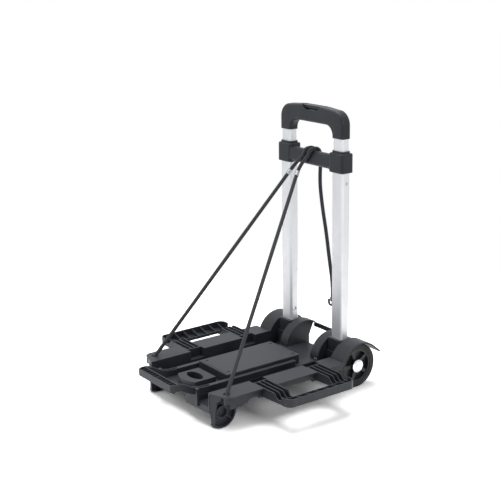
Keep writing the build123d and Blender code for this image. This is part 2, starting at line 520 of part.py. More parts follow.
def grip():
    """The moulded grip: two legs over the inner tubes and a bar with a recess for the release button."""
    out, arm = TUBE_X + 16, TUBE_X - 16
    side = [Line((0, GRIP_ARCH), (arm - 20, GRIP_ARCH)),
            ThreePointArc((arm - 20, GRIP_ARCH), (arm - 20 + 14.1, GRIP_ARCH - 5.9), (arm, GRIP_ARCH - 20)),
            Line((arm, GRIP_ARCH - 20), (arm, GRIP_BOTTOM)), Line((arm, GRIP_BOTTOM), (out, GRIP_BOTTOM)),
            Line((out, GRIP_BOTTOM), (out, GRIP_TOP - 30)),
            ThreePointArc((out, GRIP_TOP - 30), (out - 8, GRIP_TOP - 11), (out - 27, GRIP_TOP - 3)),
            Line((out - 27, GRIP_TOP - 3), (35, GRIP_TOP)), Line((35, GRIP_TOP), (0, GRIP_TOP)),
            Line((0, GRIP_TOP), (0, GRIP_ARCH))]
    half = along_y(make_face(side), TUBE_Y - GRIP_DEEP / 2, TUBE_Y + GRIP_DEEP / 2)
    whole = both_sides(half)
    rims = [e for e in whole.edges() if abs(e.bounding_box().min.Y - e.bounding_box().max.Y) < 0.01
            and e.center().Z > GRIP_BOTTOM + 1]
    whole = fillet(rims, 5.0)
    whole -= block(-CAVITY_WIDE, CAVITY_WIDE, TUBE_Y - CAVITY_HALF, TUBE_Y + CAVITY_HALF,
                   CAVITY_FLOOR, CAVITY_TOP)
    whole -= block(-BUTTON_HALF - 1, BUTTON_HALF + 1, TUBE_Y - 7, TUBE_Y + 7, CAVITY_TOP - 1, GRIP_TOP + 1)
    for sign in (-1, 1):
        whole -= Pos((sign - 1) * TUBE_X, 0, 0) * tube(
            GRIP_BOTTOM - 1, GRIP_ARCH + 4 + SEAT, INNER_WIDE + 2 * FIT, INNER_DEEP + 2 * FIT, INNER_ROUND)
        whole -= post(sign * TUBE_X, TUBE_Y, GRIP_ARCH, CAVITY_FLOOR + 1, ROD_R + 0.5)
    return whole


CAVITY_WIDE = TUBE_X + 4
BAR_BOTTOM, BAR_TOP = CAVITY_FLOOR + 7, CAVITY_TOP - 2


def release_button():
    """The long thumb button and its stem."""
    top = GRIP_TOP - 0.5
    key = block(-BUTTON_HALF, BUTTON_HALF, TUBE_Y - 6.5, TUBE_Y + 6.5, CAVITY_TOP + BUTTON_TRAVEL, top)
    key = fillet(key.edges().filter_by(Axis.Z), 5)
    key = fillet(key.faces().sort_by(Axis.Z)[-1].edges(), 1.2)
    return key + block(-20, 20, TUBE_Y - 3, TUBE_Y + 3, BAR_TOP, CAVITY_TOP + BUTTON_TRAVEL + 1)


def release_bar():
    """The bar under the button and the two rods that run down to the lock pins."""
    half_long = TUBE_X + 3
    bar = block(-half_long, half_long, TUBE_Y - 3, TUBE_Y + 3, BAR_BOTTOM, BAR_TOP)
    for sign in (-1, 1):
        bar += post(sign * TUBE_X, TUBE_Y, LOWER_HOLE_Z + PIN_R + BUTTON_TRAVEL + 1, BAR_BOTTOM + 1, ROD_R)
    return bar


def release_spring():
    """The bowed leaf spring that lifts the bar."""
    rise = BAR_BOTTOM - CAVITY_FLOOR - 0.3
    low, thick = CAVITY_FLOOR + 0.1, 0.6
    strip = [ThreePointArc((-24, low), (0, low + rise - thick), (24, low)), Line((24, low), (24, low + thick)),
             ThreePointArc((24, low + thick), (0, low + rise), (-24, low + thick)),
             Line((-24, low + thick), (-24, low))]
    return along_y(make_face(strip), TUBE_Y - 3, TUBE_Y + 3)


# ---------------------------------------------------------------- wings
def side_wing():
    """The right-hand wing: two arms of four thin walls each, stepping down to a shallow bar with gussets."""
    inner = CHANNEL_OUT + 13
    full = RAIL_EDGE + 1
    arm_end = WING_OUT - BAR_WIDE
    top = DECK_TOP
    y_mid = sum(SLOT_Y) / 2
    y0, y1 = SLOT_Y[0] - ARM_WIDE / 2, SLOT_Y[1] + ARM_WIDE / 2
    low = LEDGE_TOP
    side = make_face([
        Line((inner, top), (arm_end - 16, top)),
        Spline((arm_end - 16, top), (arm_end - 9, top - 4.5), (arm_end - 1, top - 9), tangents=((1, 0), (1, 0))),
        Line((arm_end - 1, top - 9), (arm_end + THIN, top - 9)),
        Line((arm_end + THIN, top - 9), (arm_end + THIN, low + 2)), Line((arm_end + THIN, low + 2), (full, low)),
        Line((full, low), (inner, low)), Line((inner, low), (inner, top))])
    wing = None
    for y_arm in SLOT_Y:
        for number in range(4):
            y_wall = y_arm - ARM_WIDE / 2 + number * (ARM_WIDE - THIN) / 3
            wall = along_y(side, y_wall, y_wall + THIN)
            wing = wall if wing is None else wing + wall
        floor = outline((inner, low), (full, low), (arm_end + THIN, low + 2), (arm_end + THIN, low + 2 + THIN),
                        (full, low + THIN), (inner, low + THIN))
        wing += along_y(floor, y_arm - ARM_WIDE / 2, y_arm + ARM_WIDE / 2)
        wing += block(inner, inner + THIN, y_arm - ARM_WIDE / 2, y_arm + ARM_WIDE / 2, low, top)
    # the bar: a floor, an outer wall round the corners, a low inner wall and gussets
    bar_low = low + 2
    plan = Pos((arm_end + WING_OUT) / 2, y_mid) * Rectangle(BAR_WIDE, y1 - y0)
    plan = fillet(plan.vertices().group_by(Axis.X)[-1], 14)
    inset = Pos((arm_end + WING_OUT) / 2 - THIN, y_mid) * Rectangle(BAR_WIDE, y1 - y0 - 2 * THIN)
    inset = fillet(inset.vertices().group_by(Axis.X)[-1], 14 - THIN)
    wing += along_z(plan, bar_low, bar_low + THIN)
    wing += along_z(plan - inset, bar_low, top - 0.5) - block(
        arm_end - 1, arm_end + 8, y0 - 1, y1 + 1, top - 9, top + 1)
    wing += block(arm_end, arm_end + THIN, y0, y1, bar_low, bar_low + 6)
    gusset = outline((arm_end + 1, bar_low + 1), (arm_end + 1, bar_low + 6), (WING_OUT - 1, top - 2.5),
                     (WING_OUT - 1, bar_low + 1))
    count = 7
    for number in range(count):
        y_rib = y0 + 15 + number * (y1 - y0 - 30) / (count - 1)
        wing += along_y(gusset, y_rib - THIN / 2, y_rib + THIN / 2)
    return wing


def front_wing():
    """The front wing: a ribbed channel for a bar, and two arms that fall in an S to slide on the ledge."""
    y_front, depth, edge = FRONT_REACH, 16.0, FRONT_ARM_OUT
    y_back = y_front + depth
    half = along_z(outline((-1, y_front), (edge - 5, y_front), (edge, y_front + 7), (edge, y_back), (-1, y_back)),
                   FRONT_BOTTOM, FRONT_TOP)
    cell = outline((-1, y_front + THIN), (edge - 6.2, y_front + THIN), (edge - THIN, y_front + 7.7),
                   (edge - THIN, y_back - THIN), (-1, y_back - THIN))
    half -= along_z(cell, FRONT_BOTTOM + THIN, FRONT_TOP + 1)
    for number in range(6):
        x_rib = 2 + number * 9.5
        half += block(x_rib, x_rib + 1.6, y_front + 1, y_back - 1, FRONT_BOTTOM + 1, FRONT_TOP - 1.5)
    # the arm: it leaves the bar at full height and comes down to slide on the ledge beside the panel
    low, high = LEDGE_TOP + SLIP, LEDGE_TOP + 12
    y_start, y_low, y_high, y_end = y_back - THIN, BASE_FRONT + 12, BASE_FRONT + 26, -104.0

    def under(lift, y_from, y_to):
        """The line along the underside of the arm, raised by a given height."""
        return [Line((y_from, FRONT_BOTTOM + lift), (y_from + 3, FRONT_BOTTOM + lift)),
                Spline((y_from + 3, FRONT_BOTTOM + lift), (y_front + 34, FRONT_BOTTOM - 7 + lift), (y_low, low + lift),
                       tangents=((1, -0.15), (1, 0))),
                Line((y_low, low + lift), (y_to, low + lift))]

    top = [Line((y_start, FRONT_TOP), (y_start + 3, FRONT_TOP)),
           Spline((y_start + 3, FRONT_TOP), (y_front + 48, FRONT_TOP - 13.5), (y_high, high),
                  tangents=((1, -0.15), (1, 0))),
           Line((y_high, high), (y_end, high))]
    side = make_face(under(0, y_start, y_end) + top + [
        Line((y_start, FRONT_BOTTOM), (y_start, FRONT_TOP)), Line((y_end, low), (y_end, high))])
    inside = make_face(under(THIN, y_back, y_high + 6) + [
        Line((y_back, FRONT_BOTTOM + THIN), (y_back, FRONT_TOP + 1)),
        Line((y_back, FRONT_TOP + 1), (y_high + 6, FRONT_TOP + 1)),
        Line((y_high + 6, FRONT_TOP + 1), (y_high + 6, low + THIN))])
    pocket = along_x(inside, FRONT_ARM_IN + THIN, edge - THIN)
    for number in range(3):
        y_rib = y_front + 35 + number * 17
        pocket -= block(FRONT_ARM_IN, edge, y_rib, y_rib + THIN, low - 1, high + 6 - 4 * number)
    arm = along_x(side, FRONT_ARM_IN, edge)
    arm = fillet(arm.edges().filter_by(Axis.Z).sort_by(Axis.Y)[-2:], 4.0)
    below = block(FRONT_ARM_IN + THIN, edge - THIN, y_high + 6 + THIN, y_end - 2 * THIN, low - 1, high - THIN)
    half += arm - pocket - below
    half -= block(-5, 0, y_front - 5, 0, 0, 120)
    return both_sides(half)


# ---------------------------------------------------------------- cords
def cord(*points):
    """A round cord through the points, with arcs as large as the runs allow."""
    path_points = [Vector(*p) for p in points]
    radii = []
    for before, here, after in zip(path_points, path_points[1:], path_points[2:]):
        turn = radians((here - before).get_angle(after - here))
        run = min((here - before).length, (after - here).length)
        radii.append(0.45 * run / (sin(turn / 2) / cos(turn / 2)))
    path = FilletPolyline(*path_points, radius=radii)
    start = Plane(path @ 0, z_dir=path % 0)
    solid = sweep(start * Circle(CORD_R), path=path)
    print("cord", round(path.length, 1), "long; radii", [round(r, 1) for r in radii],
          "volume ratio", round(solid.volume / (3.14159265 * CORD_R ** 2 * path.length), 4))
    return solid


FRONT_LINE = BRIDGE_FRONT - CORD_R - 0.7           # Y of a cord that lies against the bridge's front
TOP_LINE = BRIDGE_TOP + CORD_R + 0.7
REAR_LINE = BRIDGE_FRONT + BRIDGE_DEEP + CORD_R + 0.7
HOLE_Z = DECK_TOP - WALL / 2
LEFT_HOLE, RIGHT_HOLE = (-CORD_HOLE_X, CORD_HOLE_Y, HOLE_Z), (CORD_HOLE_X, CORD_HOLE_Y, HOLE_Z)
LEFT_TURN = (-41.0, FRONT_LINE - 1, YOKE_BOTTOM - 2)
RIGHT_TURN = (-24.0, FRONT_LINE - 1, YOKE_BOTTOM - 2)
LEFT_TOP, RIGHT_TOP = -9.0, 5.0                    # X where each strand crosses the bridge
CLAMP_TOP, CLAMP_BOTTOM = BRIDGE_TOP - 13, BRIDGE_BOTTOM + 3
HANG_X, HANG_Y = 9.0, REAR_LINE
FERRULE_Z, FERRULE_LONG = YOKE_BOTTOM - 18.5, 8.0
HOOK_TOP = 163.0
HOOK_X, HOOK_Y = 30.0, 15.0


def on_line(start, end, height):
    """The point of a straight line that lies at a given height."""
    share = (height - start[2]) / (end[2] - start[2])
    return tuple(a + share * (b - a) for a, b in zip(start, end))


def left_cord():
    """The strand from the left front corner up to the bridge, over it and down to the clamp behind."""
    return cord(on_line(LEFT_HOLE, LEFT_TURN, KNOT_TOP - KNOT_SEAT), LEFT_TURN,
                (LEFT_TOP, FRONT_LINE, BRIDGE_TOP - 7),
                (LEFT_TOP + 2, FRONT_LINE, TOP_LINE), (LEFT_TOP + 3, REAR_LINE, TOP_LINE),
                (LEFT_TOP + 3, REAR_LINE, CLAMP_TOP))


def right_cord():
    """The strand from the right front corner up to the bridge, over it and down to the clamp behind."""
    return cord(on_line(RIGHT_HOLE, RIGHT_TURN, KNOT_TOP - KNOT_SEAT), RIGHT_TURN,
                (RIGHT_TOP, FRONT_LINE, BRIDGE_TOP - 7),
                (RIGHT_TOP + 2, FRONT_LINE, TOP_LINE), (RIGHT_TOP + 3, REAR_LINE, TOP_LINE),
                (RIGHT_TOP + 3, REAR_LINE, CLAMP_TOP))


def hanging_cord():
    """The short strand that hangs behind the tubes, with the hook on its end."""
    return cord((HANG_X, HANG_Y, CLAMP_BOTTOM), (HANG_X, HANG_Y, CLAMP_BOTTOM - 32),
                (HANG_X + 3, HANG_Y + 6, CLAMP_BOTTOM - 90), (HANG_X + 9, HOOK_Y - 2.5, CLAMP_BOTTOM - 145),
                (HANG_X + 15, HOOK_Y - 1, CLAMP_BOTTOM - 200), (HOOK_X, HOOK_Y, HOOK_TOP + 30),
                (HOOK_X, HOOK_Y, HOOK_TOP))


def sleeve(start, end, height, length, outer, inner):
    """A ring on a straight line, in line with it."""
    middle = Plane(origin=on_line(start, end, height), z_dir=Vector(*end) - Vector(*start))
    return extrude(middle * (Circle(outer) - Circle(inner)), length / 2, both=True)


def cord_ferrules():
    """The metal ferrules on the two front strands, just under the bridge."""
    return [sleeve(LEFT_HOLE, LEFT_TURN, FERRULE_Z, FERRULE_LONG, CORD_R + 1.2, CORD_R + FIT),
            sleeve(RIGHT_HOLE, RIGHT_TURN, FERRULE_Z, FERRULE_LONG, CORD_R + 1.2, CORD_R + FIT)]


KNOT_TOP = DECK_TOP - WALL - SEAT
KNOT_HIGH, KNOT_R, KNOT_SEAT = 2.5, 6.2, 1.6


def cord_knots():
    """The stoppers that keep the front strands' ends under the deck."""
    knots = []
    for hole, turn in ((LEFT_HOLE, LEFT_TURN), (RIGHT_HOLE, RIGHT_TURN)):
        x, y, _ = on_line(hole, turn, KNOT_TOP - KNOT_HIGH / 2)
        lower, upper = on_line(hole, turn, KNOT_TOP - KNOT_SEAT), on_line(hole, turn, KNOT_TOP + 20)
        strand = extrude(Plane(origin=lower, z_dir=Vector(*upper) - Vector(*lower)) * Circle(CORD_R + FIT), 40)
        knots.append(post(x, y, KNOT_TOP - KNOT_HIGH, KNOT_TOP, KNOT_R) - strand)
    return knots


def cord_clamp():
    """The crimped metal clamp behind the bridge, where the two strands end and the hanging one starts."""
    x0, x1 = LEFT_TOP + 3 - CORD_R - 1.5, HANG_X + CORD_R + 1.5
    y0 = BRIDGE_FRONT + BRIDGE_DEEP + SEAT
    plate = block(x0, x1, y0, y0 + 2 * CORD_R + 2, CLAMP_BOTTOM, CLAMP_TOP)
    return fillet(plate.edges().filter_by(Axis.Z), 2.5)


def cord_hook():
    """The small open hook on the hanging strand, with its collar."""
    wire, bend = 2.2, 5.5
    low, tip_x = HOOK_TOP - 13, HOOK_X - 2 * bend
    start = (HOOK_X, HOOK_Y, HOOK_TOP - 4)
    path = Line(start, (HOOK_X, HOOK_Y, low)) + \
        ThreePointArc((HOOK_X, HOOK_Y, low), (HOOK_X - bend, HOOK_Y, low - bend), (tip_x, HOOK_Y, low)) + \
        Line((tip_x, HOOK_Y, low), (tip_x, HOOK_Y, low + 6))
    wire_solid = sweep(Plane(origin=start, z_dir=(0, 0, -1)) * Circle(wire), path=path)
    collar = post(HOOK_X, HOOK_Y, HOOK_TOP - 8, HOOK_TOP, CORD_R + 1)
    return collar + wire_solid


# ---------------------------------------------------------------- the pieces
def pieces():
    """Every node's solids, by name."""
    nodes = {
        "base_frame": [base_frame()],
        "centre_panel": [centre_panel()],
        "panel_screws": panel_screws(),
        "front_tab": [front_tab()],
        "cross_block": [cross_block()],
        "grip": [grip()],
        "release_button": [release_button()],
        "release_bar": [release_bar()],
        "release_spring": [release_spring()],
        "front_wing": [front_wing()],
        "left_cord": [left_cord()],
        "right_cord": [right_cord()],
        "hanging_cord": [hanging_cord()],
        "cord_ferrules": cord_ferrules(),
        "cord_knots": cord_knots(),
        "cord_clamp": [cord_clamp()],
        "cord_hook": [cord_hook()],
    }
    paired = {
        "foot": foot, "wheel_rim": wheel_rim, "tyre": tyre, "stub_axle": stub_axle, "wheel_washer": wheel_washer,
        "wheel_cap": wheel_cap, "pivot_pin": pivot_pin, "socket": socket, "outer_tube": outer_tube,
        "inner_tube": inner_tube, "guide_plug": guide_plug, "lock_pins": lock_pins, "wing": side_wing,
    }
    for name, make in paired.items():
        made = make()
        solids = made if isinstance(made, list) else [made]
        nodes["right_" + name] = solids
        nodes["left_" + name] = [left_of(solid) for solid in solids]
    return nodes


os.makedirs("parts", exist_ok=True)
for node, shapes in pieces().items():
    solids = [solid for shape in shapes for solid in shape.solids()]
    export_step(CENTRED * Compound(children=solids), f"parts/{node}.step")
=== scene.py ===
"""Folding luggage hand truck: finishes, cords, small fittings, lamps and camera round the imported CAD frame.

Everything is in metres, in the frame of the CAD model: +X to the right, +Y to the wheels and handle, +Z up.
"""
from __future__ import annotations

import json
import logging
import math
from dataclasses import dataclass, field
from enum import Enum
from typing import Any, Iterable, Sequence

import bmesh
import bpy
from mathutils import Matrix, Vector

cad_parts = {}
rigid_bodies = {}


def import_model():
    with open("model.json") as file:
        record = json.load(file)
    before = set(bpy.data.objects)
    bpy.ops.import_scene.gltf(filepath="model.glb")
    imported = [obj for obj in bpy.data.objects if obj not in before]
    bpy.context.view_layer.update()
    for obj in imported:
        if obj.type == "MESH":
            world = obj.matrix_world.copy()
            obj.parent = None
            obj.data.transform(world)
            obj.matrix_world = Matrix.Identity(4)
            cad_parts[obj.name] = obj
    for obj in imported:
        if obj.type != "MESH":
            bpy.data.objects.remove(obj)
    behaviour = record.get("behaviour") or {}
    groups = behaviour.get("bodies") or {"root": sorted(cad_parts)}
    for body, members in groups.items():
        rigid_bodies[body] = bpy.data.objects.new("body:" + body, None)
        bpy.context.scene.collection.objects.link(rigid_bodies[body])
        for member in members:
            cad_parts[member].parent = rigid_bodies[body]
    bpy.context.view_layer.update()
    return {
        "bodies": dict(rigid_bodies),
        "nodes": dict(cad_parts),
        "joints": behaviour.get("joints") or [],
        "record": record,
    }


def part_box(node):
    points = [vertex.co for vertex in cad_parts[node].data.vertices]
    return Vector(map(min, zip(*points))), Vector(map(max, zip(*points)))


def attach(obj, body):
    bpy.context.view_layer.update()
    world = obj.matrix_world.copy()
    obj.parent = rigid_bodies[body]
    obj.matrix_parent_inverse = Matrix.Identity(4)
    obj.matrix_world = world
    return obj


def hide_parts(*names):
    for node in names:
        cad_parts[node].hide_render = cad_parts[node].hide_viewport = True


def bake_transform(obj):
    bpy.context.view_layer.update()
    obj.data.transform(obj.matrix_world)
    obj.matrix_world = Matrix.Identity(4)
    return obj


LOG = logging.getLogger("hand_truck")
MM = 0.001
WHITE = (1.0, 1.0, 1.0, 1.0)
Point = tuple[float, float, float]


# ---------------------------------------------------------------- small tools
class Body(str, Enum):
    """The bodies of the cart that new pieces ride on."""

    BASE = "base"
    HANDLE_FRAME = "handle_frame"
    HANDLE = "handle"


class FarEnd(str, Enum):
    """What a run of cord ends in."""

    OBJECT = "object"
    FITTING = "fitting"


class Lay(str, Enum):
    """How a run of cord lies."""

    TAUT = "taut"
    HANGING = "hanging"


def linear(hex_colour: str) -> tuple[float, float, float, float]:
    """Turn an sRGB hex colour into linear RGBA.

    Args:
        hex_colour: Six hexadecimal digits.

    Returns:
        Red, green, blue and an alpha of one.
    """
    channels = [int(hex_colour[i:i + 2], 16) / 255 for i in (0, 2, 4)]
    red, green, blue = (c / 12.92 if c <= 0.04045 else ((c + 0.055) / 1.055) ** 2.4 for c in channels)
    return red, green, blue, 1.0


def add_node(tree: bpy.types.NodeTree, kind: str, settings: dict[str, Any] | None = None,
             inputs: dict[Any, Any] | None = None) -> bpy.types.Node:
    """Add a node with its settings and links.

    Args:
        tree: The node tree that takes the node.
        kind: Blender's name for the node.
        settings: Properties of the node.
        inputs: Values, or output sockets to link, by the name or number of the input.

    Returns:
        The new node.
    """
    node = tree.nodes.new(kind)
    for name, value in (settings or {}).items():
        setattr(node, name, value)
    for name, value in (inputs or {}).items():
        if isinstance(value, bpy.types.NodeSocket):
            tree.links.new(value, node.inputs[name])
        else:
            node.inputs[name].default_value = value
    return node


def start_material(name: str) -> tuple[bpy.types.Material, bpy.types.NodeTree]:
    """Make a material with an empty node tree.

    Args:
        name: The material's name.

    Returns:
        The material and its tree.
    """
    material = bpy.data.materials.new(name)
    material.use_nodes = True
    material.node_tree.nodes.clear()
    return material, material.node_tree


def new_object(name: str, bm: bmesh.types.BMesh, smooth_degrees: float = 35.0) -> bpy.types.Object:
    """Make an object from a bmesh and free the bmesh.

    Args:
        name: Name of the piece.
        bm: The finished shape, in place.
        smooth_degrees: Edges sharper than this stay sharp.

    Returns:
        The object, linked to the scene.
    """
    mesh = bpy.data.meshes.new(name)
    for face in bm.faces:
        face.smooth = True
    for edge in bm.edges:
        edge.smooth = len(edge.link_faces) != 2 or edge.calc_face_angle(0.0) < math.radians(smooth_degrees)
    bm.to_mesh(mesh)
    bm.free()
    piece = bpy.data.objects.new(name, mesh)
    bpy.context.scene.collection.objects.link(piece)
    return piece


def turned(bm: bmesh.types.BMesh, profile: Sequence[tuple[float, float]], place: Matrix,
           steps: int = 32) -> None:
    """Turn a closed profile, as on a lathe, and add it to a bmesh.

    Args:
        bm: The bmesh to add to.
        profile: Radius and height of each corner, in millimetres, in order round the section.
        place: Where the lathe's axis, local Z, goes.
        steps: Number of steps round the axis.
    """
    corners = [bm.verts.new((radius * MM, 0.0, height * MM)) for radius, height in profile]
    edges = [bm.edges.new((corners[i - 1], corners[i])) for i in range(len(corners))]
    before = set(bm.verts) - set(corners)
    bmesh.ops.spin(bm, geom=corners + edges, cent=(0, 0, 0), axis=(0, 0, 1), angle=math.tau, steps=steps,
                   use_merge=True)
    fresh = [v for v in bm.verts if v not in before]
    bmesh.ops.remove_doubles(bm, verts=fresh, dist=1e-6)
    fresh = [v for v in bm.verts if v not in before]
    bmesh.ops.recalc_face_normals(bm, faces=list({f for v in fresh for f in v.link_faces}))
    bmesh.ops.transform(bm, matrix=place, verts=fresh)


def facing(origin: Vector, direction: Vector) -> Matrix:
    """Return the placement whose local Z points along a direction."""
    return Matrix.Translation(origin) @ direction.to_track_quat("Z", "Y").to_matrix().to_4x4()


# ---------------------------------------------------------------- finishes
@dataclass(frozen=True)
class MouldedPolymer:
    """Injection-moulded ABS or polypropylene from a spark-eroded mould: near black, fine grain, dull sheen."""

    name: str
    colour: str
    worn: str
    roughness: float = 0.46
    grain_mm: float = 0.9        # real grain is 0.2 mm, drawn coarser so that it shows
    grain_height_mm: float = 0.035
    edge_mm: float = 0.55
    scuffs: float = 0.5
    bloom: float = 0.26          # how much the grain lights up where it is seen at a low angle
    flow_mm: float = 60.0        # width of the patches that the flow of the melt leaves
    scuff_mm: float = 24.0       # length of the scuffs
    edge_wear: float = 0.55      # share of the worn colour on a rubbed edge, in a scuff and in the palest patch
    scuff_wear: float = 0.35
    flow_wear: float = 0.16

    def build(self) -> bpy.types.Material:
        """Build the material.

        Returns:
            The node-based material.
        """
        material, tree = start_material(self.name)
        place = add_node(tree, "ShaderNodeTexCoord").outputs["Object"]
        rounded = add_node(tree, "ShaderNodeBevel", {"samples": 4}, {"Radius": self.edge_mm * MM})
        geometry = add_node(tree, "ShaderNodeNewGeometry")
        # edges that bags and hands rub go paler and smoother
        along = add_node(tree, "ShaderNodeVectorMath", {"operation": "DOT_PRODUCT"},
                         {0: rounded.outputs["Normal"], 1: geometry.outputs["Normal"]}).outputs["Value"]
        edge = add_node(tree, "ShaderNodeMapRange", {},
                        {"Value": along, "From Min": 1.0, "From Max": 0.86, "To Min": 0.0,
                         "To Max": self.edge_wear}).outputs[0]
        flow = add_node(tree, "ShaderNodeTexNoise", {},
                        {"Vector": place, "Scale": 1 / (self.flow_mm * MM), "Detail": 3.0}).outputs[0]
        # scuffs are streaks about 1 mm wide
        stretched = add_node(tree, "ShaderNodeMapping", {},
                             {"Vector": place, "Rotation": (0.2, 0.35, 0.9), "Scale": (1.0, 22.0, 9.0)})
        streaks = add_node(tree, "ShaderNodeTexNoise", {},
                           {"Vector": stretched.outputs[0], "Scale": 1 / (self.scuff_mm * MM), "Detail": 4.0,
                            "Roughness": 0.62}).outputs[0]
        scuff = add_node(tree, "ShaderNodeMapRange", {},
                         {"Value": streaks, "From Min": 0.64, "From Max": 0.74, "To Min": 0.0,
                          "To Max": self.scuff_wear * self.scuffs}).outputs[0]
        marks = add_node(tree, "ShaderNodeMath", {"operation": "MAXIMUM"}, {0: edge, 1: scuff}).outputs[0]
        tone = add_node(tree, "ShaderNodeMapRange", {},
                        {"Value": flow, "From Min": 0.3, "From Max": 0.7, "To Min": 0.0,
                         "To Max": self.flow_wear}).outputs[0]
        total = add_node(tree, "ShaderNodeMath", {"operation": "ADD", "use_clamp": True},
                         {0: marks, 1: tone}).outputs[0]
        colour = add_node(tree, "ShaderNodeMix", {"data_type": "RGBA"},
                          {0: total, 6: linear(self.colour), 7: linear(self.worn)}).outputs[2]
        rough = add_node(tree, "ShaderNodeMapRange", {},
                         {"Value": flow, "From Min": 0.25, "From Max": 0.75, "To Min": self.roughness - 0.05,
                          "To Max": self.roughness + 0.06}).outputs[0]
        grain = add_node(tree, "ShaderNodeTexNoise", {},
                         {"Vector": place, "Scale": 1 / (self.grain_mm * MM), "Detail": 2.0}).outputs[0]
        bump = add_node(tree, "ShaderNodeBump", {},
                        {"Strength": 0.5, "Distance": self.grain_height_mm * MM, "Height": grain,
                         "Normal": rounded.outputs["Normal"]}).outputs[0]
        shader = add_node(tree, "ShaderNodeBsdfPrincipled", {},
                          {"Base Color": colour, "Roughness": rough, "IOR": 1.53, "Specular IOR Level": 0.28,
                           "Sheen Weight": self.bloom, "Sheen Roughness": 0.42, "Sheen Tint": linear("C4CAE0"),
                           "Normal": bump})
        add_node(tree, "ShaderNodeOutputMaterial", {}, {"Surface": shader.outputs[0]})
        return material


@dataclass(frozen=True)
class DrawnMetal:
    """A metal drawn, turned or plated, with fine lines along one axis and slight smudges."""

    name: str
    colour: str
    roughness: float
    line_mm: float
    line_stretch: float = 60.0
    line_height_mm: float = 0.006
    smudge: float = 0.05
    dull: str = "6E7074"         # tone of the smudges
    dulled: float = 0.12         # and their share at most
    smudge_mm: float = 35.0
    edge_mm: float = 0.3

    def build(self) -> bpy.types.Material:
        """Build the material.

        Returns:
            The node-based material.
        """
        material, tree = start_material(self.name)
        place = add_node(tree, "ShaderNodeTexCoord").outputs["Object"]
        rounded = add_node(tree, "ShaderNodeBevel", {"samples": 4}, {"Radius": self.edge_mm * MM})
        drawn = add_node(tree, "ShaderNodeMapping", {},
                         {"Vector": place, "Scale": (1.0, 1.0, 1 / self.line_stretch)})
        lines = add_node(tree, "ShaderNodeTexNoise", {},
                         {"Vector": drawn.outputs[0], "Scale": 1 / (self.line_mm * MM),
                          "Detail": 3.0}).outputs[0]
        patches = add_node(tree, "ShaderNodeTexNoise", {},
                           {"Vector": place, "Scale": 1 / (self.smudge_mm * MM), "Detail": 4.0,
                            "Roughness": 0.6}).outputs[0]
        both = add_node(tree, "ShaderNodeMath", {"operation": "MULTIPLY_ADD"},
                        {0: lines, 1: 0.6, 2: patches}).outputs[0]
        rough = add_node(tree, "ShaderNodeMapRange", {},
                         {"Value": both, "From Min": 0.5, "From Max": 1.1,
                          "To Min": self.roughness - self.smudge,
                          "To Max": self.roughness + self.smudge}).outputs[0]
        shade = add_node(tree, "ShaderNodeMapRange", {},
                         {"Value": both, "From Min": 0.5, "From Max": 1.1, "To Min": 0.0,
                          "To Max": self.dulled}).outputs[0]
        colour = add_node(tree, "ShaderNodeMix", {"data_type": "RGBA"},
                          {0: shade, 6: linear(self.colour), 7: linear(self.dull)}).outputs[2]
        bump = add_node(tree, "ShaderNodeBump", {},
                        {"Strength": 0.4, "Distance": self.line_height_mm * MM, "Height": lines,
                         "Normal": rounded.outputs["Normal"]}).outputs[0]
        shader = add_node(tree, "ShaderNodeBsdfPrincipled", {},
                          {"Base Color": colour, "Metallic": 1.0, "Roughness": rough, "Normal": bump})
        add_node(tree, "ShaderNodeOutputMaterial", {}, {"Surface": shader.outputs[0]})
        return material


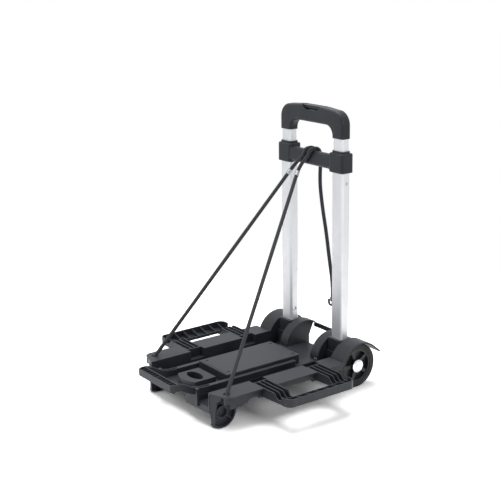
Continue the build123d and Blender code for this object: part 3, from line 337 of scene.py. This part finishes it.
@dataclass(frozen=True)
class SolidRubber:
    """Moulded solid rubber tyre: dull and near black, with mould rings round the axle and dust in the pores."""

    name: str
    axle: Point
    colour: str = "141517"
    dust: str = "3C3C3C"
    ring_mm: float = 1.6
    pore_mm: float = 1.1         # real pores are finer, drawn as coarse as they need to show
    dust_mm: float = 20.0        # width of the dusty patches
    edge_mm: float = 0.8

    def build(self) -> bpy.types.Material:
        """Build the material.

        Returns:
            The node-based material.
        """
        material, tree = start_material(self.name)
        place = add_node(tree, "ShaderNodeTexCoord").outputs["Object"]
        centred = add_node(tree, "ShaderNodeMapping", {},
                           {"Vector": place, "Location": (0.0, -self.axle[1], -self.axle[2]),
                            "Scale": (0.0, 1.0, 1.0)})
        rings = add_node(tree, "ShaderNodeTexWave",
                         {"wave_type": "RINGS", "rings_direction": "SPHERICAL", "wave_profile": "SIN"},
                         {"Vector": centred.outputs[0], "Scale": 1 / (self.ring_mm * MM) * 0.314,
                          "Distortion": 0.0}).outputs["Fac"]
        pores = add_node(tree, "ShaderNodeTexNoise", {},
                         {"Vector": place, "Scale": 1 / (self.pore_mm * MM), "Detail": 3.0}).outputs[0]
        patches = add_node(tree, "ShaderNodeTexNoise", {},
                           {"Vector": place, "Scale": 1 / (self.dust_mm * MM), "Detail": 5.0}).outputs[0]
        dusty = add_node(tree, "ShaderNodeMapRange", {},
                         {"Value": patches, "From Min": 0.45, "From Max": 0.75, "To Min": 0.0,
                          "To Max": 0.5}).outputs[0]
        colour = add_node(tree, "ShaderNodeMix", {"data_type": "RGBA"},
                          {0: dusty, 6: linear(self.colour), 7: linear(self.dust)}).outputs[2]
        relief = add_node(tree, "ShaderNodeMath", {"operation": "MULTIPLY_ADD"},
                          {0: rings, 1: 0.35, 2: pores}).outputs[0]
        rounded = add_node(tree, "ShaderNodeBevel", {"samples": 4}, {"Radius": self.edge_mm * MM})
        bump = add_node(tree, "ShaderNodeBump", {},
                        {"Strength": 0.5, "Distance": 0.05 * MM, "Height": relief,
                         "Normal": rounded.outputs["Normal"]}).outputs[0]
        shader = add_node(tree, "ShaderNodeBsdfPrincipled", {},
                          {"Base Color": colour, "Roughness": 0.68, "IOR": 1.52, "Specular IOR Level": 0.35,
                           "Normal": bump})
        add_node(tree, "ShaderNodeOutputMaterial", {}, {"Surface": shader.outputs[0]})
        return material


@dataclass(frozen=True)
class BraidedSleeve:
    """Polyester yarn braided over a rubber core: black, with a soft sheen and a painted sheen on the crown of
    each carrier.
    """

    name: str
    colour: str = "131317"
    # painted sheen: the paler tone that the crowns of the braid are drawn in
    crown: str = "3C3D44"
    yarn_mm: float = 0.35        # width of one yarn in a carrier
    girth_mm: float = 23.6       # once round the cord
    fibre_mm: float = 1.1        # length of a fleck along the cord

    def build(self) -> bpy.types.Material:
        """Build the material, which reads the cord's own UV map: U once round, V in metres along.

        Returns:
            The node-based material.
        """
        material, tree = start_material(self.name)
        uv = add_node(tree, "ShaderNodeUVMap", {"uv_map": "along"}).outputs[0]
        place = add_node(tree, "ShaderNodeTexCoord").outputs["Object"]
        yarn = add_node(tree, "ShaderNodeMapping", {},
                        {"Vector": uv, "Scale": (self.girth_mm, 1 / (self.fibre_mm * MM), 1.0)})
        fibres = add_node(tree, "ShaderNodeTexNoise", {},
                          {"Vector": yarn.outputs[0], "Scale": 1.0, "Detail": 2.0}).outputs[0]
        # painted sheen: the colour runs from the black yarn in the hollows to the paler crown tone on the
        # crowns, flecked along the fibres
        height = add_node(tree, "ShaderNodeAttribute", {"attribute_name": "crown"}).outputs["Fac"]
        mixed = add_node(tree, "ShaderNodeMath", {"operation": "MULTIPLY"}, {0: height, 1: fibres}).outputs[0]
        colour = add_node(tree, "ShaderNodeMix", {"data_type": "RGBA"},
                          {0: mixed, 6: linear(self.colour), 7: linear(self.crown)}).outputs[2]
        fuzz = add_node(tree, "ShaderNodeTexNoise", {},
                        {"Vector": place, "Scale": 1 / (self.yarn_mm * MM), "Detail": 2.0}).outputs[0]
        bump = add_node(tree, "ShaderNodeBump", {},
                        {"Strength": 0.6, "Distance": 0.08 * MM, "Height": fuzz}).outputs[0]
        shader = add_node(tree, "ShaderNodeBsdfPrincipled", {},
                          {"Base Color": colour, "Roughness": 0.78, "Sheen Weight": 0.25,
                           "Sheen Roughness": 0.4, "Normal": bump})
        add_node(tree, "ShaderNodeOutputMaterial", {}, {"Surface": shader.outputs[0]})
        return material


def finishes(axle: Point) -> dict[str, bpy.types.Material]:
    """Build the finish of each material slot of the record.

    Args:
        axle: A point on the wheels' axle.

    Returns:
        Materials by slot name.
    """
    return {
        # glass-filled polypropylene, moulded with a fine grain: dull and tough
        "base_plastic": MouldedPolymer("grained_polypropylene", "1A1B20", "565963").build(),
        # ABS, satin from the mould: a little smoother where the hand goes
        "handle_plastic": MouldedPolymer("satin_abs", "18191E", "4C4F59", roughness=0.42, grain_mm=0.7,
                                         grain_height_mm=0.02, scuffs=0.3, bloom=0.22).build(),
        # nylon rims, slightly waxy
        "rim_plastic": MouldedPolymer("moulded_nylon", "131418", "4A4C54", roughness=0.38, scuffs=0.3,
                                      bloom=0.1).build(),
        # acetal inner pieces, smooth and slippery
        "inner_plastic": MouldedPolymer("moulded_acetal", "202126", "5A5C62", roughness=0.34,
                                        grain_height_mm=0.008, scuffs=0.2).build(),
        # anodised aluminium tube, satin, with drawing lines up its length
        "tube_aluminium": DrawnMetal("satin_anodised_aluminium", "D9DADD", 0.5, 0.5).build(),
        # bright chrome over a pressed cap
        "chrome_cap": DrawnMetal("bright_chrome", "E4E6E8", 0.09, 0.8, 1.0, 0.002, 0.03).build(),
        # zinc plate over steel, bluish and slightly blotched
        "steel": DrawnMetal("zinc_plated_steel", "B4B8BC", 0.3, 0.6, 3.0, 0.004, 0.1).build(),
        "tyre": SolidRubber("solid_rubber", axle).build(),
        "cord": BraidedSleeve("braided_elastic_sleeve").build(),
        # phosphated steel screws, nearly as dark as the plastic round them
        "dark_steel": DrawnMetal("phosphated_steel", "35363A", 0.42, 0.6, 3.0, 0.004, 0.1).build(),
    }


# ---------------------------------------------------------------- cords
@dataclass
class ElasticCord:
    """One run of the round elastic cord, braided outside, on a smooth line through its route."""

    name: str
    node: str
    route: Sequence[Point]
    length: float
    far_end: FarEnd
    lay: Lay
    fittings: tuple[str, ...] = ()
    diameter: float = 0.0075
    carriers: int = 8            # strands of the braid each way round
    pitch_mm: float = 9.0        # length in which a strand goes a quarter round
    relief_mm: float = 0.22
    ring_mm: float = 0.75
    around: int = 32
    line: list[Vector] = field(default_factory=list)

    def follow(self) -> list[Vector]:
        """Read the points of the cord's line from its NURBS spline.

        Returns:
            Points a ring's spacing apart, from the exit to the far end.
        """
        curve = bpy.data.curves.new(self.name + "_route", "CURVE")
        curve.dimensions = "3D"
        curve.resolution_u = 64
        spline = curve.splines.new("NURBS")
        spline.points.add(len(self.route) - 1)
        for control, point in zip(spline.points, self.route):
            control.co = (*point, 1.0)
        spline.order_u = 3
        spline.use_endpoint_u = True
        carrier = bpy.data.objects.new(self.name + "_route", curve)
        bpy.context.scene.collection.objects.link(carrier)
        bpy.context.view_layer.update()
        mesh = bpy.data.meshes.new_from_object(carrier)
        points = [v.co.copy() for v in mesh.vertices]
        bpy.data.objects.remove(carrier)
        bpy.data.curves.remove(curve)
        bpy.data.meshes.remove(mesh)
        return self.evenly(points)

    def evenly(self, points: Sequence[Vector]) -> list[Vector]:
        """Space points evenly along a line.

        Args:
            points: Points of the line, close together but uneven.

        Returns:
            Points on the same line, all one ring's spacing apart.
        """
        total = sum((b - a).length for a, b in zip(points, points[1:]))
        count = max(8, round(total / (self.ring_mm * MM)))
        step, wanted, travelled = total / count, 0.0, 0.0
        spaced = []
        for a, b in zip(points, points[1:]):
            span = (b - a).length
            while span > 0 and wanted <= travelled + span + 1e-9 and len(spaced) < count:
                spaced.append(a.lerp(b, max(0.0, (wanted - travelled) / span)))
                wanted += step
            travelled += span
        return spaced + [points[-1].copy()]

    def height(self, turn: float, along: float) -> float:
        """Return how high the braid stands, from 0 in its hollows to 1 on its crowns."""
        slant = along / (self.pitch_mm * MM * 4)
        one = math.cos(math.pi * self.carriers * (turn + slant))
        other = math.cos(math.pi * self.carriers * (turn - slant))
        return math.sqrt(max(abs(one), abs(other)) * (0.55 + 0.45 * abs(one * other)))

    def build(self, finish: bpy.types.Material) -> bpy.types.Object:
        """Sweep the braided tube along the line.

        Args:
            finish: The sleeve's material.

        Returns:
            The mesh tube, with its UV map and the height of the braid as an attribute.
        """
        self.line = self.follow()
        bm = bmesh.new()
        turn_of = bm.verts.layers.float.new("turn")
        along_of = bm.verts.layers.float.new("distance")
        crown_of = bm.verts.layers.float.new("crown")
        tangents = [(self.line[min(i + 1, len(self.line) - 1)] - self.line[max(i - 1, 0)]).normalized()
                    for i in range(len(self.line))]
        turning = tangents[0].to_track_quat("Z", "Y")
        place = Matrix.Translation(self.line[0]) @ turning.to_matrix().to_4x4()
        ring = bmesh.ops.create_circle(bm, cap_ends=True, segments=self.around, radius=self.diameter / 2,
                                       matrix=place)["verts"]
        for number, vert in enumerate(ring):
            vert[turn_of] = number / self.around
        rings = [(list(ring), self.line[0], 0.0)]
        edges = [e for e in bm.edges if e.is_boundary]
        travelled = 0.0
        for number in range(1, len(self.line)):
            grown = bmesh.ops.extrude_edge_only(bm, edges=edges)["geom"]
            verts = [g for g in grown if isinstance(g, bmesh.types.BMVert)]
            edges = [g for g in grown if isinstance(g, bmesh.types.BMEdge) and g.is_boundary]
            turning = tangents[number - 1].rotation_difference(tangents[number]) @ turning
            moved = Matrix.Translation(self.line[number]) @ turning.to_matrix().to_4x4()
            bmesh.ops.transform(bm, matrix=moved @ place.inverted(), verts=verts)
            travelled += (self.line[number] - self.line[number - 1]).length
            rings.append((verts, self.line[number], travelled))
            place = moved
        bmesh.ops.edgeloop_fill(bm, edges=edges)
        for verts, centre, distance in rings:
            for vert in verts:
                crown = self.height(vert[turn_of], distance)
                vert[along_of], vert[crown_of] = distance, crown
                reach = self.diameter / 2 - self.relief_mm * MM * (1 - crown)
                vert.co = centre + (vert.co - centre).normalized() * reach
        uv = bm.loops.layers.uv.new("along")
        for face in bm.faces:
            turns = [loop.vert[turn_of] for loop in face.loops]
            wraps = max(turns) - min(turns) > 0.5
            for loop, turn in zip(face.loops, turns):
                loop[uv].uv = (turn + 1 if wraps and turn < 0.5 else turn, loop.vert[along_of])
        bmesh.ops.recalc_face_normals(bm, faces=bm.faces[:])
        piece = new_object(self.name, bm, 60)
        piece.data.materials.append(finish)
        return piece

    def declare(self, piece: bpy.types.Object, with_pieces: Iterable[Any]) -> None:
        """Do nothing with the cord and the pieces that go with it."""


@dataclass
class CordSet:
    """The three cord runs with their ferrules and stoppers."""

    finish: bpy.types.Material
    metal: bpy.types.Material
    left_route: tuple[Point, ...] = (
        (-0.12578, -0.14896, 0.06310), (-0.04840, 0.11956, 0.39970), (-0.04100, 0.14531, 0.43200),
        (-0.00900, 0.14631, 0.45900), (-0.00700, 0.14631, 0.47045), (-0.00600, 0.17321, 0.47045),
        (-0.00600, 0.17321, 0.45300))
    right_route: tuple[Point, ...] = (
        (0.12639, -0.14896, 0.06310), (-0.01200, 0.12178, 0.40250), (-0.02400, 0.14531, 0.43200),
        (0.00500, 0.14631, 0.45900), (0.00700, 0.14631, 0.47045), (0.00800, 0.17321, 0.47045),
        (0.00800, 0.17321, 0.45300))
    hanging_route: tuple[Point, ...] = (
        (0.00900, 0.17321, 0.44000), (0.00500, 0.17321, 0.40800), (0.00700, 0.17921, 0.35000),
        (0.01300, 0.18526, 0.29500), (0.02100, 0.18676, 0.24000), (0.03000, 0.18776, 0.19300),
        (0.03000, 0.18776, 0.16300))
    fold_start: Point = (0.0, -0.149, 0.063)
    fold_end: Point = (0.0, 0.1453, 0.432)
    ferrule_z: float = 0.4190
    ferrule_long_mm: float = 10.5
    ferrule_bore_mm: float = 3.8     # radii inside and outside
    ferrule_wide_mm: float = 4.9
    stopper_mm: float = 6.2      # radius of the flattened knots

    def ferrule(self, name: str, route: Sequence[Point]) -> bpy.types.Object:
        """Build the crimped metal ferrule of one front run.

        Args:
            name: Name of the piece.
            route: The run's route, whose first long stretch carries the ferrule.

        Returns:
            The ferrule.
        """
        half, inner, outer = self.ferrule_long_mm / 2, self.ferrule_bore_mm, self.ferrule_wide_mm
        low_ring = [(outer, -1.9), (outer - 0.45, -1.5), (outer - 0.45, -0.9), (outer, -0.5)]
        high_ring = [(radius, -height) for radius, height in reversed(low_ring)]
        profile = [(inner, -half), (outer - 0.3, -half), (outer, -half + 0.4), *low_ring, *high_ring,
                   (outer, half - 0.4), (outer - 0.3, half), (inner, half)]
        bm = bmesh.new()
        low, high = Vector(route[0]), Vector(route[2])
        middle = low.lerp(high, (self.ferrule_z - low.z) / (high.z - low.z))
        turned(bm, profile, facing(middle, high - low))
        piece = new_object(name, bm)
        piece.data.materials.append(self.metal)
        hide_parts("cord_ferrules")
        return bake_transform(piece)

    def stopper(self, name: str, side: int) -> bpy.types.Object:
        """Build the flattened knot that keeps one front run's end under the deck.

        Args:
            name: Name of the piece.
            side: -1 on the left, 1 on the right.

        Returns:
            The knot.
        """
        low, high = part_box("cord_knots")
        bm = bmesh.new()
        radius = self.stopper_mm * MM
        centre = Vector((low[0] + radius if side < 0 else high[0] - radius, (low[1] + high[1]) / 2,
                         (low[2] + high[2]) / 2))
        made = bmesh.ops.create_uvsphere(bm, u_segments=48, v_segments=20, radius=1.0)["verts"]
        for vert in made:
            turn = math.atan2(vert.co.y, vert.co.x)
            lobe = 0.93 + 0.07 * math.cos(3 * turn + 2.2 * vert.co.z)
            vert.co = Vector((vert.co.x * radius * lobe, vert.co.y * radius * lobe,
                              math.copysign(abs(vert.co.z) ** 0.6, vert.co.z) * (high[2] - low[2]) / 2))
        bmesh.ops.translate(bm, verts=made, vec=centre)
        piece = new_object(name, bm, 60)
        piece.data.materials.append(self.finish)
        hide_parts("cord_knots")
        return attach(piece, Body.BASE.value)

    def build(self) -> list[bpy.types.Object]:
        """Returns:
            The new pieces.
        """
        left = ElasticCord("left_elastic_cord", "left_cord", self.left_route, 0.5689, FarEnd.OBJECT, Lay.TAUT)
        right = ElasticCord("right_elastic_cord", "right_cord", self.right_route, 0.5800, FarEnd.OBJECT,
                            Lay.TAUT)
        hanging = ElasticCord("hanging_elastic_cord", "hanging_cord", self.hanging_route, 0.2787,
                              FarEnd.FITTING, Lay.HANGING)
        on_left = [self.ferrule("left_ferrule", self.left_route), self.stopper("left_stopper_knot", -1)]
        on_right = [self.ferrule("right_ferrule", self.right_route), self.stopper("right_stopper_knot", 1)]
        made = [*on_left, *on_right]
        for cord, company in ((left, on_left), (right, on_right), (hanging, ["cord_clamp", "cord_hook"])):
            piece = cord.build(self.finish)
            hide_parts(cord.node)
            if cord is hanging:
                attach(piece, Body.HANDLE_FRAME.value)
            else:
                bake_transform(piece)
            cord.declare(piece, company)
            made.append(piece)
        return made


# ---------------------------------------------------------------- pieces from the CAD model, and the grip
@dataclass
class Fittings:
    """The CAD nodes, each dressed in the finish of its material slot."""

    frame: dict[str, Any]
    looks: dict[str, bpy.types.Material]

    def dress(self) -> int:
        """Give every CAD node the finish that the record names for it.

        Returns:
            Number of nodes dressed.
        """
        slots = {part["node"]: part["material_slot"] for part in self.frame["record"]["subparts"]}
        for name, node in self.frame["nodes"].items():
            look = self.looks["dark_steel" if name == "panel_screws" else slots[name]]
            if not node.material_slots:
                node.data.materials.append(look)
            for material_slot in node.material_slots:
                material_slot.material = look
            LOG.info("dressed %s in %s", name, look.name)
        return len(slots)


@dataclass
class HandGrip:
    """The moulded grip with the scoop that the thumb rests in, and the soft pad in the scoop."""

    finish: bpy.types.Material
    scoop_mm: Point = (27.0, 14.0, 10.0)      # half lengths of the hollow across, front to back, and up
    scoop_in_mm: float = 2.5                 # from the grip's front face to the hollow's middle
    scoop_down_mm: float = 1.0               # from the grip's top to the hollow's middle
    pad_mm: Point = (15.0, 6.0, 2.0)         # half lengths of the pad
    pad_back_mm: float = 4.0                 # from the hollow's middle to the pad's
    pad_rise_mm: float = 0.6                 # from the hollow's floor to the pad's middle

    def ellipsoid(self, half_mm: Point, centre: Vector) -> bmesh.types.BMesh:
        """Return a closed ellipsoid with the given half lengths, in millimetres, at a centre."""
        bm = bmesh.new()
        verts = bmesh.ops.create_uvsphere(bm, u_segments=64, v_segments=32, radius=MM)["verts"]
        bmesh.ops.scale(bm, verts=verts, vec=half_mm)
        bmesh.ops.translate(bm, verts=verts, vec=centre)
        return bm

    def build(self, node: bpy.types.Object) -> list[bpy.types.Object]:
        """Cut the scoop in a merged copy of the grip and lay the pad in it.

        Args:
            node: The CAD node of the grip.

        Returns:
            The grip and its pad.
        """
        low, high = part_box("grip")
        middle = Vector(((low[0] + high[0]) / 2, low[1] + self.scoop_in_mm * MM,
                         high[2] - self.scoop_down_mm * MM))
        cutter = new_object("scoop_cutter", self.ellipsoid(self.scoop_mm, middle))
        solid = bmesh.new()
        solid.from_mesh(node.data)
        bmesh.ops.remove_doubles(solid, verts=solid.verts[:], dist=1e-6)
        blank = new_object("grip_blank", solid)
        cut = blank.modifiers.new("scoop", "BOOLEAN")
        cut.operation, cut.solver, cut.object = "DIFFERENCE", "EXACT", cutter
        bpy.context.view_layer.update()
        shape = bpy.data.meshes.new_from_object(blank.evaluated_get(bpy.context.evaluated_depsgraph_get()))
        carved = bmesh.new()
        carved.from_mesh(shape)
        for spare in (blank, cutter):
            bpy.data.meshes.remove(spare.data)
        bpy.data.meshes.remove(shape)
        grip = new_object("hand_grip", carved)
        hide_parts("grip")
        floor = Vector((middle.x, middle.y + self.pad_back_mm * MM,
                        middle.z - (self.scoop_mm[2] - self.pad_rise_mm) * MM))
        pad = new_object("thumb_pad", self.ellipsoid(self.pad_mm, floor))
        for piece in (grip, pad):
            piece.data.materials.clear()
            piece.data.materials.append(self.finish)
            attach(piece, Body.HANDLE.value)
        return [grip, pad]


# ---------------------------------------------------------------- studio
@dataclass(frozen=True)
class Lamp:
    """One square soft lamp and the point that it is aimed at."""

    name: str
    place: Point
    target: Point
    size: float                  # length of its side, in metres
    power: float                 # in watts

    def hang(self) -> None:
        """Hang the lamp and turn it to its target."""
        data = bpy.data.lights.new(self.name, "AREA")
        data.shape, data.size, data.energy = "SQUARE", self.size, self.power
        lamp = bpy.data.objects.new(self.name, data)
        bpy.context.scene.collection.objects.link(lamp)
        away = Vector(self.place) - Vector(self.target)
        lamp.matrix_world = Matrix.Translation(self.place) @ away.to_track_quat("Z", "Y").to_matrix().to_4x4()


@dataclass
class Studio:
    """Pale sweep, soft lamps and the camera."""

    eye: Point = (1.6859, -1.22604, 0.8680)
    yaw: float = 53.91
    pitch: float = 15.52
    roll: float = -0.87
    focal_px: float = 1116.0
    frame_px: float = 500.0
    sensor_mm: float = 36.0
    paper: float = 0.94          # how much of the light the floor's paper gives back
    paper_gain: float = 1.8      # and how bright it is drawn
    paper_from: float = 0.45     # the paper fades out between these distances, in metres
    paper_to: float = 1.1
    floor_half: float = 12.0
    soft_light: float = 0.3      # strength of the surroundings as light on the object
    lamps: tuple[Lamp, ...] = (
        Lamp("key_lamp", (-0.35, 0.1, 2.3), (0.0, 0.0, 0.1), 1.5, 34.0),
        Lamp("front_lamp", (-0.7, -1.9, 1.5), (0.0, 0.0, 0.2), 1.2, 11.0),
        Lamp("side_lamp", (2.1, 0.1, 1.3), (0.0, 0.0, 0.2), 1.0, 15.0))

    def camera(self) -> None:
        """Create the camera at the viewing angle and make it the scene's."""
        yaw, pitch, roll = (math.radians(a) for a in (self.yaw, self.pitch, self.roll))
        ahead = Vector((-math.sin(yaw) * math.cos(pitch), math.cos(yaw) * math.cos(pitch), -math.sin(pitch)))
        right = Vector((math.cos(yaw), math.sin(yaw), 0.0))
        up = right.cross(ahead)
        turned_right = right * math.cos(roll) + up * math.sin(roll)
        turned_up = up * math.cos(roll) - right * math.sin(roll)
        data = bpy.data.cameras.new("camera")
        data.sensor_width = self.sensor_mm
        data.lens = self.focal_px / self.frame_px * self.sensor_mm
        data.clip_start, data.clip_end = 0.05, 50.0
        camera = bpy.data.objects.new("camera", data)
        bpy.context.scene.collection.objects.link(camera)
        axes = Matrix((turned_right, turned_up, -ahead)).transposed().to_4x4()
        camera.matrix_world = Matrix.Translation(self.eye) @ axes
        bpy.context.scene.camera = camera

    @staticmethod
    def background_rays(tree: bpy.types.NodeTree) -> bpy.types.NodeSocket:
        """Return a socket that is one for rays to the camera, in gloss and through glass, and else zero."""
        path = add_node(tree, "ShaderNodeLightPath")
        seen = add_node(tree, "ShaderNodeMath", {"operation": "MAXIMUM"},
                        {0: path.outputs["Is Camera Ray"], 1: path.outputs["Is Glossy Ray"]}).outputs[0]
        return add_node(tree, "ShaderNodeMath", {"operation": "MAXIMUM"},
                        {0: seen, 1: path.outputs["Is Transmission Ray"]}).outputs[0]

    def world(self) -> None:
        """Make the surroundings: white to the camera and in reflections, softer as light on the object."""
        world = bpy.data.worlds.new("studio")
        world.use_nodes = True
        tree = world.node_tree
        tree.nodes.clear()
        seen = self.background_rays(tree)
        soft = add_node(tree, "ShaderNodeBackground", {}, {"Color": WHITE, "Strength": self.soft_light})
        white = add_node(tree, "ShaderNodeBackground", {}, {"Color": WHITE, "Strength": 1.0})
        mixed = add_node(tree, "ShaderNodeMixShader", {}, {0: seen, 1: soft.outputs[0], 2: white.outputs[0]})
        add_node(tree, "ShaderNodeOutputWorld", {}, {"Surface": mixed.outputs[0]})
        bpy.context.scene.world = world

    def floor(self) -> None:
        """Lay the white floor: paper under the object, running out into plain white further off."""
        bm = bmesh.new()
        bmesh.ops.create_grid(bm, x_segments=1, y_segments=1, size=self.floor_half)
        floor = new_object("studio_floor", bm)
        material, tree = start_material("white_sweep")
        seen = self.background_rays(tree)
        # the paper is drawn brighter than it is to the camera alone, so that only its shadows are grey
        tone = add_node(tree, "ShaderNodeMapRange", {},
                        {"Value": seen, "To Min": self.paper, "To Max": self.paper_gain}).outputs[0]
        paper = add_node(tree, "ShaderNodeBsdfDiffuse", {}, {"Color": tone})
        white = add_node(tree, "ShaderNodeEmission", {}, {"Color": WHITE, "Strength": 1.0})
        place = add_node(tree, "ShaderNodeTexCoord").outputs["Object"]
        far = add_node(tree, "ShaderNodeVectorMath", {"operation": "LENGTH"}, {0: place}).outputs["Value"]
        fade = add_node(tree, "ShaderNodeMapRange", {"interpolation_type": "SMOOTHSTEP"},
                        {"Value": far, "From Min": self.paper_from, "From Max": self.paper_to}).outputs[0]
        share = add_node(tree, "ShaderNodeMath", {"operation": "MULTIPLY"}, {0: seen, 1: fade}).outputs[0]
        mixed = add_node(tree, "ShaderNodeMixShader", {}, {0: share, 1: paper.outputs[0], 2: white.outputs[0]})
        add_node(tree, "ShaderNodeOutputMaterial", {}, {"Surface": mixed.outputs[0]})
        floor.data.materials.append(material)

    def build(self) -> None:
        """Set up camera, lamps, surroundings and floor."""
        bpy.context.scene.view_settings.view_transform = "Standard"
        self.camera()
        self.world()
        self.floor()
        for lamp in self.lamps:
            lamp.hang()


def main() -> None:
    """Load the frame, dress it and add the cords."""
    logging.basicConfig(level=logging.INFO, format="%(name)s: %(message)s")
    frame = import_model()
    Studio().build()
    low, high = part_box("left_tyre")
    looks = finishes((0.0, (low[1] + high[1]) / 2, (low[2] + high[2]) / 2))
    LOG.info("dressed %d nodes", Fittings(frame, looks).dress())
    grip = HandGrip(looks["handle_plastic"]).build(frame["nodes"]["grip"])
    for piece in [*CordSet(looks["cord"], looks["steel"]).build(), *grip]:
        LOG.info("built %s with %d faces", piece.name, len(piece.data.polygons))
    bpy.context.view_layer.update()


if __name__ == "__main__":
    main()
